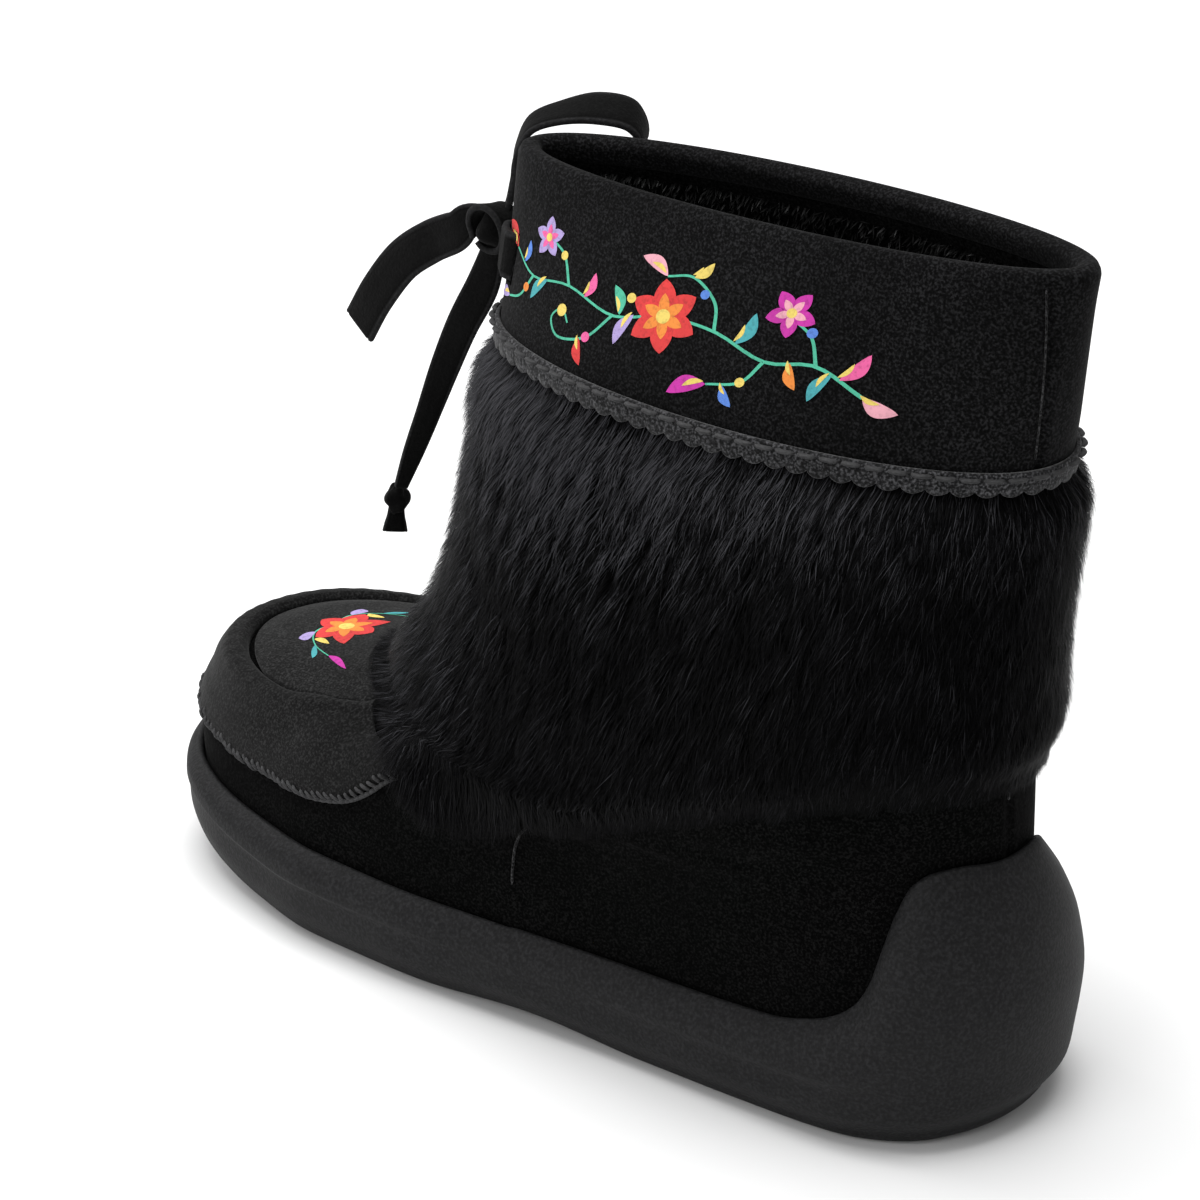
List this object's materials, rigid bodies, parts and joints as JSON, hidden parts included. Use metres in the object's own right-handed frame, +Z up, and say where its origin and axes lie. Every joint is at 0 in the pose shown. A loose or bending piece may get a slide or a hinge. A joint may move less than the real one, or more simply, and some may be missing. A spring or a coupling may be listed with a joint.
{
  "type": "mukluk boot",
  "caption": "Left mukluk boot with a cup sole, a toe vamp with a plug, a deep fur band over the ankle, a suede cuff with pinked trim and a tied flat lace.",
  "frame": {"origin": "on the ground plane under the middle of the boot's bounding box, the loose lace left out", "axes": "+X towards the toe, +Y to the wearer's outer side, +Z up"},
  "size_m": [0.2918, 0.113, 0.2344],
  "materials": {
    "sole": "matte moulded rubber",
    "insole": "felt foot bed",
    "upper": "fine-grained suede",
    "vamp": "fine-grained suede",
    "toe_plug": "fine-grained suede with a printed pattern",
    "fur_band": "long straight fur",
    "cuff": "fine-grained suede with a printed pattern",
    "trim": "pinked suede strip",
    "lace": "flat suede strap"
  },
  "bodies": {
    "root": {"sole": "sole", "insole": "insole", "upper": "upper", "vamp": "vamp", "toe_plug": "toe_plug", "fur_band": "fur_band", "cuff": "cuff", "trim": "trim", "lace_bar": "lace", "lace_knot": "lace", "lace_short_end": "lace", "lace_long_end": "lace", "lace_tip_knot": "lace", "lace_loop_upper": "lace", "lace_loop_lower": "lace"}
  },
  "joints": []
}
